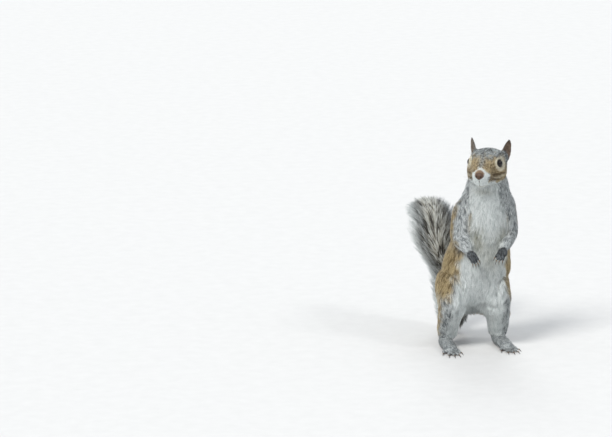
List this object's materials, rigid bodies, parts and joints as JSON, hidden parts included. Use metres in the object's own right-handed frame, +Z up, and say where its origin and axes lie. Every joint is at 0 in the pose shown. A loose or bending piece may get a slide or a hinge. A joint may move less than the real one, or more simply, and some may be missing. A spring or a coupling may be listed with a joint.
{
  "type": "gray squirrel model",
  "caption": "Life-size gray squirrel standing upright on its hind feet, hands hanging, head turned to its right, tail raised behind.",
  "frame": {"origin": "on the floor, under the middle of the squirrel's bounding box", "axes": "+Z up; the squirrel's chest faces -Y, so its left side is +X and its tail is at +Y"},
  "size_m": [0.1094, 0.2, 0.245],
  "materials": {
    "grizzled_coat": "grizzled grey-brown fur",
    "pale_coat": "white to pale grey fur",
    "dark_paw": "short dark grey fur",
    "tail_coat": "long loose grizzled fur with white tips",
    "eye": "wet gloss",
    "claw": "dark horn"
  },
  "bodies": {
    "root": {"head": "grizzled_coat", "neck": "grizzled_coat", "trunk": "grizzled_coat", "eye_right": "eye", "ear_right": "grizzled_coat", "upper_arm_right": "grizzled_coat", "forearm_right": "grizzled_coat", "paw_right": "dark_paw", "thigh_right": "grizzled_coat", "shank_right": "pale_coat", "foot_right": "pale_coat", "claw_fore_right_1": "claw", "claw_fore_right_2": "claw", "claw_fore_right_3": "claw", "claw_fore_right_4": "claw", "claw_hind_right_1": "claw", "claw_hind_right_2": "claw", "claw_hind_right_3": "claw", "claw_hind_right_4": "claw", "claw_hind_right_5": "claw", "eye_left": "eye", "ear_left": "grizzled_coat", "upper_arm_left": "grizzled_coat", "forearm_left": "grizzled_coat", "paw_left": "dark_paw", "thigh_left": "grizzled_coat", "shank_left": "pale_coat", "foot_left": "pale_coat", "claw_fore_left_1": "claw", "claw_fore_left_2": "claw", "claw_fore_left_3": "claw", "claw_fore_left_4": "claw", "claw_hind_left_1": "claw", "claw_hind_left_2": "claw", "claw_hind_left_3": "claw", "claw_hind_left_4": "claw", "claw_hind_left_5": "claw", "tail_root": "tail_coat", "tail_middle": "tail_coat", "tail_upper": "tail_coat", "tail_tip": "tail_coat"}
  },
  "joints": []
}
